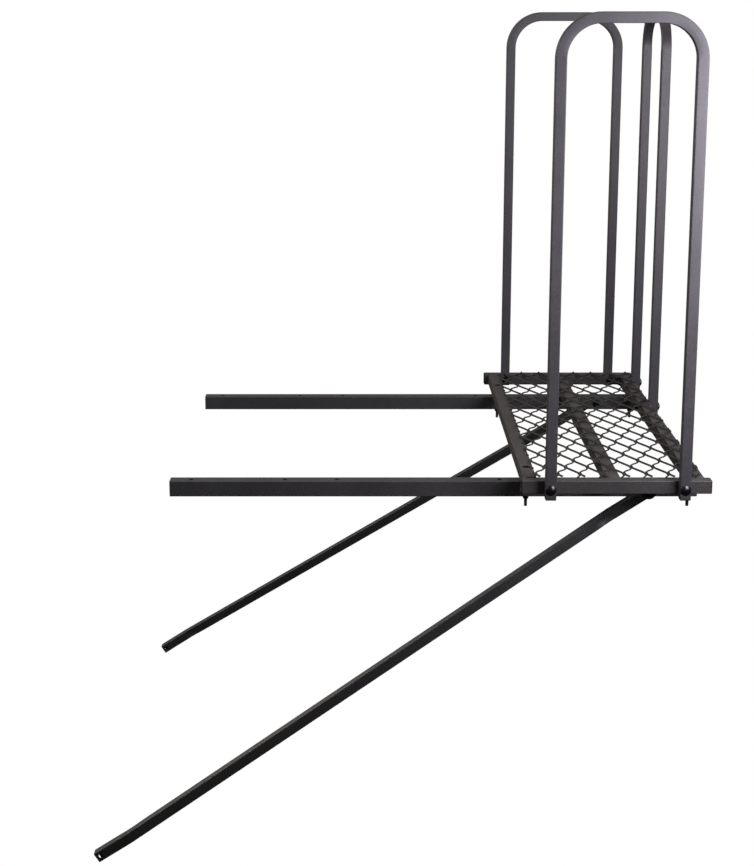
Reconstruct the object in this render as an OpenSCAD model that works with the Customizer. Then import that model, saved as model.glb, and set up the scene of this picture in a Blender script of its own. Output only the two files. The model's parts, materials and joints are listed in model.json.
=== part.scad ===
// Bolt-on landing deck of a ladder and tower tree stand.
// The origin is the centre of the four outer tower bolts, on the rails' top faces.
// +X runs along the rails from the tower to the deck, +Y across the deck, +Z up.

/* [Deck frame] */
// Width of the deck along X, over the two side tubes
deck_w = 428; // [380:1:520]
// Depth of the deck along Y, over the two end tubes
deck_d = 1210; // [1100:1:1400]
// Side of the square frame tube
frame_tube = 31.75; // [30:0.25:34]
// Wall of the frame and rail tubes
frame_wall = 2; // [1.5:0.1:3]
// How far an end tube runs past the side tubes, on average
end_overhang = 7.5; // [6:0.5:25]
// How far the near end tube is welded off the middle; the far one is the same part turned round
end_shift = 3; // [0:1:5]
// Outside corner radius of every square tube
corner_r = 2; // [1.8:0.1:3]

/* [Deck mesh] */
// Thickness of the expanded metal
mesh_t = 3; // [2:0.5:5]
// Short way of one diamond, along X
mesh_swd = 52.5; // [40:0.5:60]
// Long way of one diamond, along Y
mesh_lwd = 120; // [100:1:130]
// Width of one strand
strand_w = 3.2; // [2.5:0.1:4]
// Length of a bond, where two strands stay joined
bond_len = 22; // [16:1:28]
// How far the mesh laps the left side tube
mesh_lap = 6; // [4:1:15]
// How far the mesh laps the near end tube
mesh_near_lap = 7; // [3:1:15]

/* [Rails] */
// Side of the square rail tube
rail_tube = 38.1; // [36:0.1:42]
// Length of each rail
rail_len = 1271.5; // [1200:0.5:1500]
// Distance between the rails' centre lines
rail_spacing = 907; // [850:1:950]
// From the near end of the deck to the near rail's centre line
rail_inset = 127; // [110:1:140]
// Tower bolt holes, measured from the rail's free end
tower_holes = [51, 278, 404, 798];
// Radius of the tower bolt holes
tower_hole_r = 6.35; // [5:0.05:7]

/* [Hoops] */
// Side of the square hoop tube
hoop_tube = 25.4; // [24:0.1:27]
// Wall of the hoop and brace tubes
hoop_wall = 1.6; // [1.2:0.1:2.5]
// Distance between the centre lines of a hoop's legs
hoop_w = 314; // [290:1:340]
// Height of the hoops above the frame's top
hoop_rise = 1075; // [900:5:1150]
// How far the legs run below the frame
hoop_drop = 6.5; // [4:0.5:20]
// Bend radius at the hoop's centre line
hoop_bend_r = 90; // [60:1:120]
// Centre of the side hoop, measured from the near end of the deck
side_hoop_y = 985; // [900:1:1020]

/* [Braces] */
// Angle of the braces below the rails
brace_angle = 33; // [25:0.5:45]
// From the pivot bolt to the rail's deck end
pivot_inset = 118.5; // [110:0.5:135]
// From the pivot to the upper bend
brace_upper = 106; // [90:1:150]
// From the upper bend to the lower bend
brace_span = 1382; // [1200:1:1450]
// From the lower bend to the end
brace_lower = 92; // [80:1:120]
// How far the lower end is set out sideways
brace_splay = 182; // [120:1:220]
// From the foot hole to the brace's lower end
foot_margin = 12; // [11:0.5:16]
// From the pivot to the brace's upper end
head_margin = 13; // [12:0.5:14]

/* [Fasteners] */
// Radius of the hoop and pivot bolts
bolt_r = 5; // [4:0.5:6]
// Radius of the domed heads
dome_r = 12.3; // [11:0.1:13]
// Height of the domed heads
dome_h = 5.4; // [4:0.1:6]
// Radius of the rail bolts
rail_bolt_r = 4; // [3:0.5:5]
// Length of the rail bolts under the head
rail_bolt_len = 70; // [65:1:75]
// How far the outer rail bolts stand in from the right side tube's middle line
rail_bolt_shift = 4; // [0:1:4]
// Radius of the access holes above the left rail bolts
access_r = 10.5; // [9:0.5:12]
// Radius of the access holes above the right rail bolts, which stand nearer to a corner
right_access_r = 9; // [8.5:0.25:9.25]

/* [Hidden] */
$fn = 48;

// shared by every bolted joint
washer_t = 1.6;
hole_slack = 0.4;
bolt_end = 14;

// end plugs: the lip outside the tube and the stem inside it
plug_lip = 2.5;
plug_depth = 10;
plug_fit = 0.15;

// heights
frame_top = frame_tube;
frame_mid = frame_tube / 2;
rail_mid = -rail_tube / 2;
hoop_foot = -hoop_drop;
hoop_top = frame_top + hoop_rise;

// rails
rail_x0 = -(tower_holes[0] + tower_holes[3]) / 2;
rail_x1 = rail_x0 + rail_len;
rail_y = rail_spacing / 2;

// deck frame: its right edge is flush with the faces of the rails' plugs
deck_x1 = rail_x1 + plug_lip;
deck_x0 = deck_x1 - deck_w;
deck_mid = (deck_x0 + deck_x1) / 2;
near_mid = deck_mid + end_shift;
far_mid = deck_mid - end_shift;
end_half = deck_w / 2 + end_overhang;
deck_y0 = -rail_y - rail_inset;
deck_y1 = deck_y0 + deck_d;
left_x = deck_x0 + frame_tube / 2;
right_x = deck_x1 - frame_tube / 2;
side_len = deck_d - 2 * frame_tube;
bolt_x = [left_x, right_x - rail_bolt_shift];

// mesh: its edges, and one row of bonds that has a bond over the centre tube
mesh_x0 = deck_x0 + frame_tube - mesh_lap;
mesh_x1 = deck_x1 - 3;
mesh_y0 = deck_y0 + frame_tube - mesh_near_lap;
mesh_y1 = deck_y1 - 20;
bond_row_y = deck_y0 + 109;

// hoops
side_y = deck_y0 + side_hoop_y;
hoop_bolt_len = hoop_tube + frame_tube + washer_t + bolt_end;
neck = 2 * bolt_r - 0.1;
neck_len = 5;
neck_hole = 2 * bolt_r + 0.3;

// braces
pivot_x = rail_x1 - pivot_inset;
pivot_fit = 0.05;
side_gap = 0.3;
brace_off = rail_tube / 2 + washer_t + side_gap + hoop_tube / 2;
bend_a = atan(brace_splay / brace_span);
brace_end = brace_upper + brace_span + brace_lower;
foot_at = brace_end - foot_margin;

// nuts and washers
nut_af = 3.4 * bolt_r;
nut_h = 1.8 * bolt_r;
rail_nut_af = 3.25 * rail_bolt_r;
rail_nut_h = 2.1 * rail_bolt_r;
rail_head_h = 1.3 * rail_bolt_r;
nut_gap = 0.05;
hoop_washer_r = 10;
big_washer_r = 17.5;
rail_washer_r = 8;

// from the rail's outer face: spacer, gap, brace, gap, large washer, domed head
pivot_head_z = rail_tube / 2 + washer_t + 2 * side_gap + hoop_tube + washer_t;
pivot_bolt_len = pivot_head_z + rail_tube / 2 + washer_t + bolt_end;

// ---------- shared shapes ----------

// a square with rounded corners, centred
module rounded_square(side, r) {
    square([side - 2 * r, side], center = true);
    square([side, side - 2 * r], center = true);
    for (sx = [-1, 1], sy = [-1, 1])
        translate([sx * (side / 2 - r), sy * (side / 2 - r)]) circle(r = r);
}

// cross-section of a square tube
module tube_section(side, wall) {
    difference() {
        rounded_square(side, corner_r);
        rounded_square(side - 2 * wall, max(corner_r - wall, 0.4));
    }
}

// a straight square tube along +X from the origin
module tube_x(side, wall, len) {
    rotate([90, 0, 90]) linear_extrude(len) tube_section(side, wall);
}

// a straight square tube along +Y from the origin
module tube_y(side, wall, len) {
    rotate([-90, 0, 0]) linear_extrude(len) tube_section(side, wall);
}

// a quarter bend in the XY plane about the origin, starting from +X
module tube_bend(side, wall, r) {
    rotate_extrude(angle = 90) translate([r, 0]) tube_section(side, wall);
}

// a cylinder along Y, centred
module bar_y(r, len) {
    rotate([90, 0, 0]) cylinder(r = r, h = len, center = true);
}

module washer(r, bore_r) {
    difference() {
        cylinder(r = r, h = washer_t);
        translate([0, 0, -1]) cylinder(r = bore_r, h = washer_t + 2);
    }
}

module nut(af, h, bore_r) {
    difference() {
        intersection() {
            cylinder(r = af / sqrt(3), h = h, $fn = 6);
            translate([0, 0, -1]) cylinder(r = af / sqrt(3) - 0.5, h = h + 2);
        }
        translate([0, 0, -1]) cylinder(r = bore_r, h = h + 2);
    }
}

// a domed head standing on the XY plane, its shank going down
module dome_bolt(len) {
    dome_ball = (dome_r * dome_r + dome_h * dome_h) / (2 * dome_h);
    intersection() {
        translate([0, 0, dome_h - dome_ball]) sphere(r = dome_ball, $fn = 96);
        cylinder(r = dome_r, h = dome_h + 1);
    }
    translate([0, 0, -len]) cylinder(r = bolt_r, h = len + 0.5);
}

// a dome-head bolt with the square neck that stops it turning
module carriage_bolt(len) {
    dome_bolt(len);
    translate([-neck / 2, -neck / 2, -neck_len]) cube([neck, neck, neck_len + 0.5]);
}

module hex_bolt(af, head_h, r, len) {
    cylinder(r = af / sqrt(3), h = head_h, $fn = 6);
    translate([0, 0, -len]) cylinder(r = r, h = len + 0.5);
}

// a push-in end plug: its lip stands on the XY plane, its stem goes down
module plug(side, wall) {
    linear_extrude(plug_lip) rounded_square(side - 0.6, corner_r);
    translate([0, 0, -plug_depth])
        linear_extrude(plug_depth + 0.5) rounded_square(side - 2 * wall - 2 * plug_fit, 0.8);
}

// ---------- places ----------

// the two leg bolts of each hoop: Z points out of the domed head
module at_hoop_bolts() {
    for (s = [-1, 1]) {
        translate([near_mid + s * hoop_w / 2, deck_y0 - hoop_tube, frame_mid]) rotate([90, 0, 0]) children();
        translate([far_mid + s * hoop_w / 2, deck_y1 + hoop_tube, frame_mid]) rotate([-90, 0, 0]) children();
        translate([deck_x1 + hoop_tube, side_y + s * hoop_w / 2, frame_mid]) rotate([0, 90, 0]) children();
    }
}

// the four bolts that hold the side tubes down on the rails
module at_rail_bolts(z) {
    for (x = bolt_x, y = [-rail_y, rail_y]) translate([x, y, z]) children();
}

// the two brace pivots: Z points outwards, away from the rail's centre line
module at_pivots() {
    translate([pivot_x, -rail_y, rail_mid]) rotate([90, 0, 0]) children();
    translate([pivot_x, rail_y, rail_mid]) rotate([-90, 0, 0]) children();
}

// ---------- deck frame ----------

module end_tube() {
    color("#3a3a3d") difference() {
        translate([-end_half, 0, 0]) tube_x(frame_tube, frame_wall, 2 * end_half);
        for (s = [-1, 1]) translate([s * hoop_w / 2, 0, 0]) bar_y(bolt_r + hole_slack, frame_tube + 2);
    }
}

module near_end_tube() translate([near_mid, deck_y0 + frame_tube / 2, frame_mid]) end_tube();
module far_end_tube() translate([far_mid, deck_y1 - frame_tube / 2, frame_mid]) end_tube();

module side_tube(x) {
    translate([x, deck_y0 + frame_tube, frame_mid]) tube_y(frame_tube, frame_wall, side_len);
}

// clearance for a rail bolt: a small hole below and a large access hole above
module rail_bolt_holes(x, access) {
    for (y = [-rail_y, rail_y]) translate([x, y, 0]) {
        translate([0, 0, -1]) cylinder(r = rail_bolt_r + hole_slack, h = frame_wall + 2);
        translate([0, 0, frame_top - frame_wall - 1]) cylinder(r = access, h = frame_wall + 2);
    }
}

module left_side_tube() {
    color("#48423f") difference() {
        side_tube(left_x);
        rail_bolt_holes(bolt_x[0], access_r);
    }
}

module centre_tube() {
    color("#48423f") side_tube(deck_mid);
}

module right_side_tube() {
    color("#48423f") difference() {
        side_tube(right_x);
        rail_bolt_holes(bolt_x[1], right_access_r);
        for (s = [-1, 1]) translate([right_x, side_y + s * hoop_w / 2, frame_mid])
            rotate([0, 90, 0]) cylinder(r = bolt_r + hole_slack, h = frame_tube + 2, center = true);
    }
}

// ---------- deck mesh ----------

// one opening of the expanded metal, between two bonds of a row
module mesh_opening() {
    hx = mesh_swd / 2 - strand_w;
    hy = mesh_lwd / 2 - bond_len / 2;
    hb = bond_len / 2;
    polygon([[-hx, -hb], [0, -hy], [hx, -hb], [hx, hb], [0, hy], [-hx, hb]]);
}

module deck_mesh() {
    rows = ceil(deck_d / mesh_lwd) * 2;
    cols = ceil(deck_w / mesh_swd) / 2 + 1;
    color("#2b2b2b") translate([0, 0, frame_top]) linear_extrude(mesh_t) difference() {
        translate([mesh_x0, mesh_y0]) square([mesh_x1 - mesh_x0, mesh_y1 - mesh_y0]);
        for (j = [-2:rows], i = [-cols:cols]) {
            x = deck_mid + (i + (abs(j) % 2 == 0 ? 0.5 : 0)) * mesh_swd;
            y = bond_row_y + j * mesh_lwd / 2;
            reach_x = mesh_swd / 2;
            reach_y = mesh_lwd / 2;
            inside_x = x > mesh_x0 - reach_x && x < mesh_x1 + reach_x;
            inside_y = y > mesh_y0 - reach_y && y < mesh_y1 + reach_y;
            if (inside_x && inside_y) translate([x, y]) mesh_opening();
        }
    }
}

// ---------- rails ----------

module rail(y) {
    color("#333335") difference() {
        translate([rail_x0, y, rail_mid]) tube_x(rail_tube, frame_wall, rail_len);
        for (h = tower_holes) translate([rail_x0 + h, y, -rail_tube - 1])
            cylinder(r = tower_hole_r, h = rail_tube + 2);
        for (x = bolt_x) translate([x, y, -rail_tube - 1])
            cylinder(r = rail_bolt_r + hole_slack, h = rail_tube + 2);
        translate([pivot_x, y, rail_mid]) bar_y(bolt_r + hole_slack, rail_tube + 2);
    }
}

module near_rail() rail(-rail_y);
module far_rail() rail(rail_y);

// ---------- hoops ----------

// an upside-down U in the XZ plane, its outer face towards -Y, legs centred about x = 0
module hoop() {
    leg = hoop_top - hoop_foot - hoop_tube / 2 - hoop_bend_r;
    half = hoop_w / 2;
    top_z = hoop_top - hoop_tube / 2;
    difference() {
        union() {
            for (s = [-1, 1]) translate([s * half, 0, hoop_foot])
                linear_extrude(leg) tube_section(hoop_tube, hoop_wall);
            for (s = [0, 1]) mirror([s, 0, 0]) translate([half - hoop_bend_r, 0, top_z - hoop_bend_r])
                rotate([90, 0, 0]) tube_bend(hoop_tube, hoop_wall, hoop_bend_r);
            translate([-half + hoop_bend_r, 0, top_z]) tube_x(hoop_tube, hoop_wall, hoop_w - 2 * hoop_bend_r);
        }
        for (s = [-1, 1]) translate([s * half, 0, frame_mid]) {
            bar_y(bolt_r + hole_slack, hoop_tube + 2);
            translate([-neck_hole / 2, -hoop_tube / 2 - 1, -neck_hole / 2])
                cube([neck_hole, hoop_wall + 1.5, neck_hole]);
        }
    }
}

module near_hoop() {
    color("#4a4850") translate([near_mid, deck_y0 - hoop_tube / 2, 0]) hoop();
}

module far_hoop() {
    color("#4a4850") translate([far_mid, deck_y1 + hoop_tube / 2, 0]) rotate([0, 0, 180]) hoop();
}

module side_hoop() {
    color("#4a4850") translate([deck_x1 + hoop_tube / 2, side_y, 0]) rotate([0, 0, 90]) hoop();
}

// ---------- braces ----------

// outline of the bent tube at a distance d either side of its centre line, run on by over at both ends
module brace_outline(d, over) {
    t = d * tan(bend_a / 2);
    upper = brace_upper;
    lower = brace_upper + brace_span;
    start = -head_margin - over;
    end = brace_end + over;
    polygon([[start, d], [upper + t, d], [lower + t, d - brace_splay], [end, d - brace_splay],
        [end, -d - brace_splay], [lower - t, -d - brace_splay], [upper - t, -d], [start, -d]]);
}

// a bent tube along +X, set out towards -Y, with the pivot at the origin
module brace_tube() {
    inner = hoop_tube / 2 - hoop_wall;
    difference() {
        linear_extrude(hoop_tube, center = true) brace_outline(hoop_tube / 2, 0);
        linear_extrude(2 * inner, center = true) brace_outline(inner, 1);
    }
}

// the whole brace in its place on the near side
module brace() {
    translate([pivot_x, -rail_y - brace_off, rail_mid]) rotate([0, 180 - brace_angle, 0]) difference() {
        brace_tube();
        bar_y(bolt_r + pivot_fit, hoop_tube + 2);
        translate([foot_at, -brace_splay, 0]) bar_y(bolt_r + 0.25, hoop_tube + 2);
    }
}

module near_brace() {
    color("#242426") brace();
}

module far_brace() {
    color("#242426") mirror([0, 1, 0]) brace();
}

// ---------- fasteners ----------

module hoop_bolts() {
    color("#141414") at_hoop_bolts() carriage_bolt(hoop_bolt_len);
}

module hoop_washers() {
    color("#1f1f20") at_hoop_bolts() translate([0, 0, -hoop_tube - frame_tube - washer_t])
        washer(hoop_washer_r, bolt_r + hole_slack);
}

module hoop_nuts() {
    color("#1f1f20") at_hoop_bolts() translate([0, 0, -hoop_tube - frame_tube - washer_t - nut_h])
        nut(nut_af, nut_h, bolt_r + nut_gap);
}

module rail_bolts() {
    color("#1c1c1c") at_rail_bolts(frame_wall + washer_t)
        hex_bolt(rail_nut_af, rail_head_h, rail_bolt_r, rail_bolt_len);
}

module rail_head_washers() {
    color("#1f1f20") at_rail_bolts(frame_wall) washer(rail_washer_r, rail_bolt_r + hole_slack);
}

module rail_nut_washers() {
    color("#1f1f20") at_rail_bolts(-rail_tube - washer_t) washer(rail_washer_r, rail_bolt_r + hole_slack);
}

module rail_nuts() {
    color("#1c1c1c") at_rail_bolts(-rail_tube - washer_t - rail_nut_h)
        nut(rail_nut_af, rail_nut_h, rail_bolt_r + nut_gap);
}

module pivot_bolts() {
    color("#141414") at_pivots() translate([0, 0, pivot_head_z]) dome_bolt(pivot_bolt_len);
}

module pivot_head_washers() {
    color("#1c1c1c") at_pivots() translate([0, 0, pivot_head_z - washer_t])
        washer(big_washer_r, bolt_r + nut_gap);
}

module pivot_spacers() {
    color("#1f1f20") at_pivots() translate([0, 0, rail_tube / 2]) washer(hoop_washer_r, bolt_r + nut_gap);
}

module pivot_nut_washers() {
    color("#1f1f20") at_pivots() translate([0, 0, -rail_tube / 2 - washer_t])
        washer(hoop_washer_r, bolt_r + hole_slack);
}

module pivot_nuts() {
    color("#1f1f20") at_pivots() translate([0, 0, -rail_tube / 2 - washer_t - nut_h])
        nut(nut_af, nut_h, bolt_r + nut_gap);
}

// ---------- end plugs ----------

module end_tube_plugs() {
    color("#19191a") for (s = [-1, 1]) {
        translate([near_mid + s * end_half, deck_y0 + frame_tube / 2, frame_mid])
            rotate([0, s * 90, 0]) plug(frame_tube, frame_wall);
        translate([far_mid + s * end_half, deck_y1 - frame_tube / 2, frame_mid])
            rotate([0, s * 90, 0]) plug(frame_tube, frame_wall);
    }
}

module rail_plugs() {
    color("#19191a") for (y = [-rail_y, rail_y])
        translate([rail_x1, y, rail_mid]) rotate([0, 90, 0]) plug(rail_tube, frame_wall);
}

module hoop_foot_plugs() {
    color("#19191a") for (s = [-1, 1]) {
        translate([near_mid + s * hoop_w / 2, deck_y0 - hoop_tube / 2, hoop_foot])
            rotate([180, 0, 0]) plug(hoop_tube, hoop_wall);
        translate([far_mid + s * hoop_w / 2, deck_y1 + hoop_tube / 2, hoop_foot])
            rotate([180, 0, 0]) plug(hoop_tube, hoop_wall);
        translate([deck_x1 + hoop_tube / 2, side_y + s * hoop_w / 2, hoop_foot])
            rotate([180, 0, 0]) plug(hoop_tube, hoop_wall);
    }
}

near_end_tube();
far_end_tube();
left_side_tube();
centre_tube();
right_side_tube();
deck_mesh();
near_rail();
far_rail();
near_hoop();
far_hoop();
side_hoop();
near_brace();
far_brace();
hoop_bolts();
hoop_washers();
hoop_nuts();
rail_bolts();
rail_head_washers();
rail_nut_washers();
rail_nuts();
pivot_bolts();
pivot_head_washers();
pivot_spacers();
pivot_nut_washers();
pivot_nuts();
end_tube_plugs();
rail_plugs();
hoop_foot_plugs();
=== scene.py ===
import json
import math

import bpy
from mathutils import Matrix, Vector


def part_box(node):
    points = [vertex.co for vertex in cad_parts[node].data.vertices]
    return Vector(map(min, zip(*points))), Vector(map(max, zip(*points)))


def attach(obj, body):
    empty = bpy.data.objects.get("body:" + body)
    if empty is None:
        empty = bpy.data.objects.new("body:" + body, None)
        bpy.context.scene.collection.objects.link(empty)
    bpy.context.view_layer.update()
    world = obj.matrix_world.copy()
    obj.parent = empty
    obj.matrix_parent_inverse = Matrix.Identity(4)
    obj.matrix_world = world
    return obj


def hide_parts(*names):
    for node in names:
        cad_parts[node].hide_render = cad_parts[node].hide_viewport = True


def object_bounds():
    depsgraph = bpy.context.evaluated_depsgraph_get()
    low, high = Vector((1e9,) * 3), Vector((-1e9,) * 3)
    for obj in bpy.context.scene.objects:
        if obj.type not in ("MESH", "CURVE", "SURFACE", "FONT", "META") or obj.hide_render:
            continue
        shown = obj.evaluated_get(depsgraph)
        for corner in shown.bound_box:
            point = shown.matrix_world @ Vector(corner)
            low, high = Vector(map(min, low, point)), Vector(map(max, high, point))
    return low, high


# A bolt-on landing deck for a ladder and tower tree stand, in powder-coated square steel tube.
# Metres, +X along the rails towards the deck, +Y across the deck, +Z up.

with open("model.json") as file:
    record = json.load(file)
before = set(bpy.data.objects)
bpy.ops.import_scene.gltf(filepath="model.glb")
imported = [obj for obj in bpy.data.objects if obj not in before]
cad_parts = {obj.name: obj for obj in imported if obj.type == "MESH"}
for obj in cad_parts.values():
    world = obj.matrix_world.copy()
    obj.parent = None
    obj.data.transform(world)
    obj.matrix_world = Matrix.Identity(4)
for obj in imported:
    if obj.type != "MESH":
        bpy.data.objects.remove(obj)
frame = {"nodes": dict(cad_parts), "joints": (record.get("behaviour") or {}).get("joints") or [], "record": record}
cad_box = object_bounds()
bpy.ops.object.select_all(action="DESELECT")

MM = 0.001
X, Y, Z = Vector((1, 0, 0)), Vector((0, 1, 0)), Vector((0, 0, 1))

# square tubes
CORNER = 2 * MM
HOOP_WALL = 1.6 * MM
FRAME_WALL = 2 * MM
HOOP_BEND = 90 * MM
HOOP_CUTS = 18
HOOP_PRESS = 2.2 * MM
HOOP_PINCH = 1 * MM
CUT_EASE = 0.3 * MM

# plugs
PLUG_LIP = 2.5 * MM
PLUG_ROUND = 0.9 * MM
PLUG_STEM = 10 * MM
PLUG_FIT = 0.15 * MM
PLUG_MARGIN = 0.3 * MM
PLUG_DISH = 0.7 * MM

# braces
BRACE_HEAD = 13 * MM
BRACE_UPPER = 106 * MM
BRACE_LOWER = 80 * MM
BRACE_FOOT = 12 * MM
BRACE_BEND = 55 * MM
DENT_REACH = 30 * MM
DENT_DEPTH = 3.6 * MM
DENT_PINCH = 0.6 * MM
DENT_PAST = 20 * MM

# raised expanded metal
STRAND_WIDTH = 4.5 * MM
STRAND_THICK = 2.4 * MM
STRAND_TILT = math.radians(40)
BOND_LENGTH = 22 * MM
SHORT_WAY = 52.5 * MM
LONG_WAY = 120.2 * MM
BOND_ROW = 109 * MM
SHEET_TURN = math.radians(0.56)
END_AREA = 1e-4

# bolts, nuts and washers
DOME_RADIUS = 12.3 * MM
DOME_RIM = 1.4 * MM
DOME_HEIGHT = 6.6 * MM
WASHER_THICK = 1.6 * MM
BOLT_END = 14 * MM
RAIL_WASHER = 8 * MM
SIDE_GAP = 0.3 * MM
THREAD_ROOT = 0.87

# M10, for the hoops and the brace pivots
M10_RADIUS = 5 * MM
M10_PITCH = 1.5 * MM
M10_FLATS = 17 * MM
M10_NUT_TALL = 9 * MM
M10_NUT_BORE = 5.1 * MM
M10_WASHER = 10 * MM
M10_WASHER_BORE = 5.4 * MM
PIVOT_BORE = 5.05 * MM
FOOT_HOLE = 5.25 * MM

# M8, for the rails
M8_RADIUS = 4 * MM
M8_PITCH = 1.25 * MM
M8_FLATS = 13 * MM
M8_NUT_BORE = 4.1 * MM
M8_WASHER_BORE = 4.4 * MM
M8_THREAD = 30 * MM

# welds
UPRIGHT_BEAD = 2.3 * MM
FLAT_BEAD = 2.1 * MM
RIPPLE = 2.8 * MM
BEAD_TIP = 0.55
BEAD_WAIST = 0.86
DAB_RADIUS = 4.2 * MM
DAB_HEIGHT = 3.4 * MM

# the fixed body, which everything but the two braces rides on
PLATFORM = "platform"


# ---------- working in edit mode ----------


def edit():
    bpy.ops.object.mode_set(mode="EDIT")


def leave():
    bpy.ops.object.mode_set(mode="OBJECT")


def pick(kind, wanted):
    """In edit mode, selects only the vertices, edges or polygons that the test wants."""
    mesh = bpy.context.object.data
    modes = {"vertices": "VERT", "edges": "EDGE", "polygons": "FACE"}
    bpy.ops.mesh.select_mode(type=modes[kind])
    bpy.ops.mesh.select_all(action="DESELECT")
    leave()
    for part in getattr(mesh, kind):
        part.select = wanted(part)
    edit()


def edge_length(edge):
    ends = [bpy.context.object.data.vertices[i].co for i in edge.vertices]
    return (ends[0] - ends[1]).length


def extrude(step):
    bpy.ops.mesh.extrude_region_move(TRANSFORM_OT_translate={"value": step})


def apply_modifier(piece, kind, **settings):
    modifier = piece.modifiers.new(kind.title(), kind)
    for key, value in settings.items():
        setattr(modifier, key, value)
    bpy.context.view_layer.objects.active = piece
    bpy.ops.object.modifier_apply(modifier=modifier.name)


def repeat(piece, count, step, **settings):
    """Copies of the piece within its own mesh, each a step from the one before."""
    apply_modifier(
        piece,
        "ARRAY",
        count=count,
        use_relative_offset=False,
        use_constant_offset=True,
        constant_offset_displace=step,
        **settings,
    )


def bevel_edges(piece, width, segments, angle=1.0):
    """Rounds the edges that turn by more than the angle, in radians."""
    apply_modifier(
        piece, "BEVEL", width=width, segments=segments, limit_method="ANGLE", angle_limit=angle
    )


def shade(piece, angle=35):
    """Smooth over the round edges, true on the flats."""
    bpy.ops.object.select_all(action="DESELECT")
    piece.select_set(True)
    bpy.context.view_layer.objects.active = piece
    bpy.ops.object.shade_smooth_by_angle(angle=math.radians(angle))
    apply_modifier(piece, "WEIGHTED_NORMAL", keep_sharp=True)


def close_up(merge=0.01 * MM):
    """In edit mode, merges doubles and turns every face outwards."""
    bpy.ops.mesh.select_all(action="SELECT")
    bpy.ops.mesh.remove_doubles(threshold=merge)
    bpy.ops.mesh.normals_make_consistent(inside=False)


def settle(piece):
    """Puts the piece's place and turn into its mesh."""
    bpy.ops.object.select_all(action="DESELECT")
    piece.select_set(True)
    bpy.context.view_layer.objects.active = piece
    bpy.ops.object.transform_apply(location=True, rotation=True, scale=True)


def copy_piece(pattern, name, place, turn):
    """A copy of the pattern with its own mesh, turned by the angles about X, Y and Z and moved."""
    piece = pattern.copy()
    piece.data = pattern.data.copy()
    piece.name = name
    piece.data.name = name
    bpy.context.scene.collection.objects.link(piece)
    piece.rotation_euler = turn
    piece.location = place
    settle(piece)
    return piece


def place_copy(pattern, name, place, outward, spin=0.0):
    """A copy of the pattern, its +Z turned to face outward."""
    turn = outward.to_track_quat("Z", "Y").to_matrix().to_4x4() @ Matrix.Rotation(spin, 4, "Z")
    return copy_piece(pattern, name, place, turn.to_euler())


def discard(*pieces):
    for piece in pieces:
        bpy.data.objects.remove(piece, do_unlink=True)


def finish_piece(piece, body, slot, finish, *nodes):
    """Coats the piece, hangs it on its body and hides the CAD nodes it stands for."""
    piece.data.materials.clear()
    piece.data.materials.append(finish)
    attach(piece, body)
    if nodes:
        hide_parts(*nodes)
    return piece


# ---------- finishes ----------


def colour(hex_code):
    """Linear RGBA from an sRGB hex value."""
    parts = [int(hex_code[i : i + 2], 16) / 255 for i in (1, 3, 5)]
    linear = [p / 12.92 if p <= 0.04045 else ((p + 0.055) / 1.055) ** 2.4 for p in parts]
    return (*linear, 1.0)


def add_node(tree, kind, settings, values, links):
    """One node, with its settings, its input values and what feeds its inputs."""
    node = tree.nodes.new(kind)
    for key, value in settings.items():
        setattr(node, key, value)
    for key, value in values.items():
        node.inputs[key].default_value = value
    for key, source in links.items():
        tree.links.new(source, node.inputs[key])
    return node


def new_material(name):
    material = bpy.data.materials.new(name)
    material.use_nodes = True
    material.node_tree.nodes.clear()
    return material


def per_metre(size_mm):
    """The texture scale at which one feature is that many millimetres."""
    return 1 / (size_mm * MM)


def powder_coat(name, base, light, roughness, grain_mm=3.2, grain_depth=0.05):
    """Polyester powder baked on steel: an even semi-matt skin with a fine orange-peel grain and
    slow drifts in colour where the powder lay thicker. Its usual grain is drawn at about 3 mm, which
    is coarser than real powder coat, because a finer one is too small to show."""
    material = new_material(name)
    tree = material.node_tree
    place = add_node(tree, "ShaderNodeTexCoord", {}, {}, {}).outputs["Object"]
    drift = add_node(
        tree, "ShaderNodeTexNoise", {}, {"Scale": per_metre(70), "Detail": 3.0}, {"Vector": place}
    )
    grain = add_node(
        tree, "ShaderNodeTexNoise", {}, {"Scale": per_metre(grain_mm), "Detail": 2.0}, {"Vector": place}
    )
    blend = add_node(
        tree,
        "ShaderNodeMath",
        {"operation": "MULTIPLY"},
        {},
        {0: drift.outputs["Fac"], 1: grain.outputs["Fac"]},
    )
    tint = add_node(
        tree, "ShaderNodeValToRGB", {}, {}, {"Fac": blend.outputs["Value"]}
    )
    tint.color_ramp.elements[0].position = 0.12
    tint.color_ramp.elements[0].color = colour(base)
    tint.color_ramp.elements[1].position = 0.42
    tint.color_ramp.elements[1].color = colour(light)
    sheen = add_node(
        tree,
        "ShaderNodeMapRange",
        {},
        {"From Min": 0.3, "From Max": 0.7, "To Min": roughness - 0.06, "To Max": roughness + 0.06},
        {"Value": grain.outputs["Fac"]},
    )
    bump = add_node(
        tree,
        "ShaderNodeBump",
        {},
        {"Strength": grain_depth, "Distance": 0.6 * MM},
        {"Height": grain.outputs["Fac"]},
    )
    skin = add_node(
        tree,
        "ShaderNodeBsdfPrincipled",
        {},
        {"IOR": 1.5, "Metallic": 0.0},
        {
            "Base Color": tint.outputs["Color"],
            "Roughness": sheen.outputs["Result"],
            "Normal": bump.outputs["Normal"],
        },
    )
    add_node(tree, "ShaderNodeOutputMaterial", {}, {}, {"Surface": skin.outputs["BSDF"]})
    return material


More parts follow.
